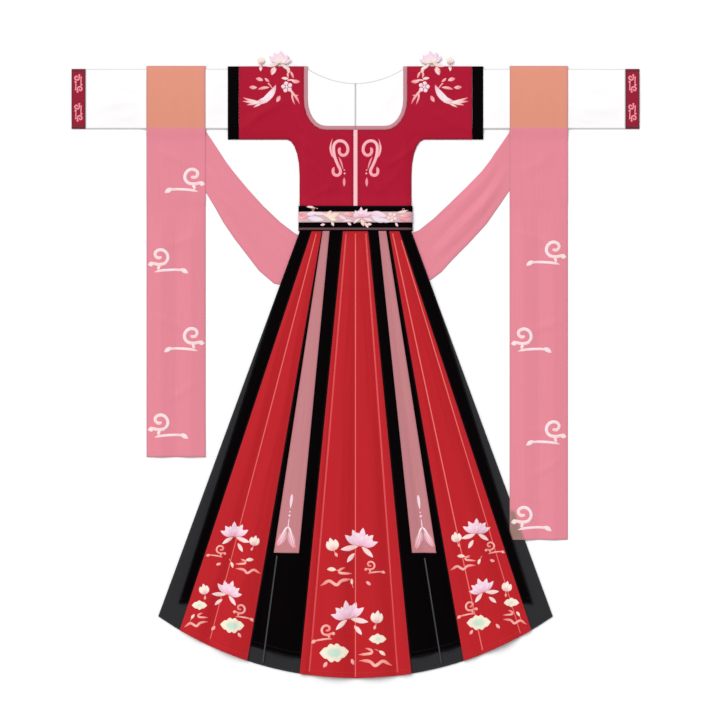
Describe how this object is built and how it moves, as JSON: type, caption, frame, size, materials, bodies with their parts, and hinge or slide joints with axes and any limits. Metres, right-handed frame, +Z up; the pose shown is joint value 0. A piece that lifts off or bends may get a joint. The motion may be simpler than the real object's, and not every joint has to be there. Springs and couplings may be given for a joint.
{
  "type": "hanfu costume",
  "caption": "Hanfu costume laid flat: white long-sleeved shirt, crimson half-sleeved jacket, red and black gored skirt, embroidered belt with ribbons, long sheer scarf.",
  "frame": {"origin": "on the surface that the costume lies on, below the middle of its plan", "axes": "+X across the costume to the viewer's right as it is seen from above, +Y from the hem to the shoulders, +Z up from the surface"},
  "size_m": [1.334, 1.438, 0.0169],
  "materials": {
    "shirt_white": "plain-woven fine cotton, matt",
    "jacket_crimson": "crimson silk twill, soft sheen",
    "skirt_red": "red silk twill, soft sheen",
    "skirt_black": "black silk twill",
    "underskirt_charcoal": "charcoal plain weave, matt",
    "belt_black": "black satin over a firm core",
    "belt_band_pink": "pale pink satin with satin-stitch embroidery",
    "trim_greyish_pink": "greyish pink silk binding",
    "centre_band_pink": "pale pink silk",
    "cuff_red": "red satin with pink embroidery",
    "ribbon_dusty_pink": "dusty pink satin ribbon",
    "scarf_pink": "sheer pink silk gauze"
  },
  "bodies": {
    "root": {"belt_back": "belt_black", "belt_band": "belt_band_pink", "belt_front": "belt_black", "belt_piping": "trim_greyish_pink", "jacket_back": "jacket_crimson", "jacket_centre_band": "centre_band_pink", "jacket_front_left": "jacket_crimson", "jacket_front_right": "jacket_crimson", "jacket_neck_trim_left": "trim_greyish_pink", "jacket_neck_trim_right": "trim_greyish_pink", "jacket_sleeve_band_left": "belt_black", "jacket_sleeve_band_right": "belt_black", "ribbon_left": "ribbon_dusty_pink", "ribbon_right": "ribbon_dusty_pink", "scarf_behind_waist": "scarf_pink", "scarf_swag_left": "scarf_pink", "scarf_swag_right": "scarf_pink", "scarf_tail_left": "scarf_pink", "scarf_tail_right": "scarf_pink", "shirt_back": "shirt_white", "shirt_cuff_left": "cuff_red", "shirt_cuff_right": "cuff_red", "shirt_front_left": "shirt_white", "shirt_front_right": "shirt_white", "shirt_sleeve_left": "shirt_white", "shirt_sleeve_right": "shirt_white", "skirt_back_black_inner_left": "skirt_black", "skirt_back_black_inner_right": "skirt_black", "skirt_back_black_outer_left": "skirt_black", "skirt_back_black_outer_right": "skirt_black", "skirt_back_red_centre": "skirt_red", "skirt_back_red_left": "skirt_red", "skirt_back_red_right": "skirt_red", "skirt_front_black_inner_left": "skirt_black", "skirt_front_black_inner_right": "skirt_black", "skirt_front_black_outer_left": "skirt_black", "skirt_front_black_outer_right": "skirt_black", "skirt_front_red_centre": "skirt_red", "skirt_front_red_left": "skirt_red", "skirt_front_red_right": "skirt_red", "skirt_waistband_back": "skirt_black", "skirt_waistband_front": "skirt_black", "underskirt_back": "underskirt_charcoal", "underskirt_front": "underskirt_charcoal"}
  },
  "joints": []
}
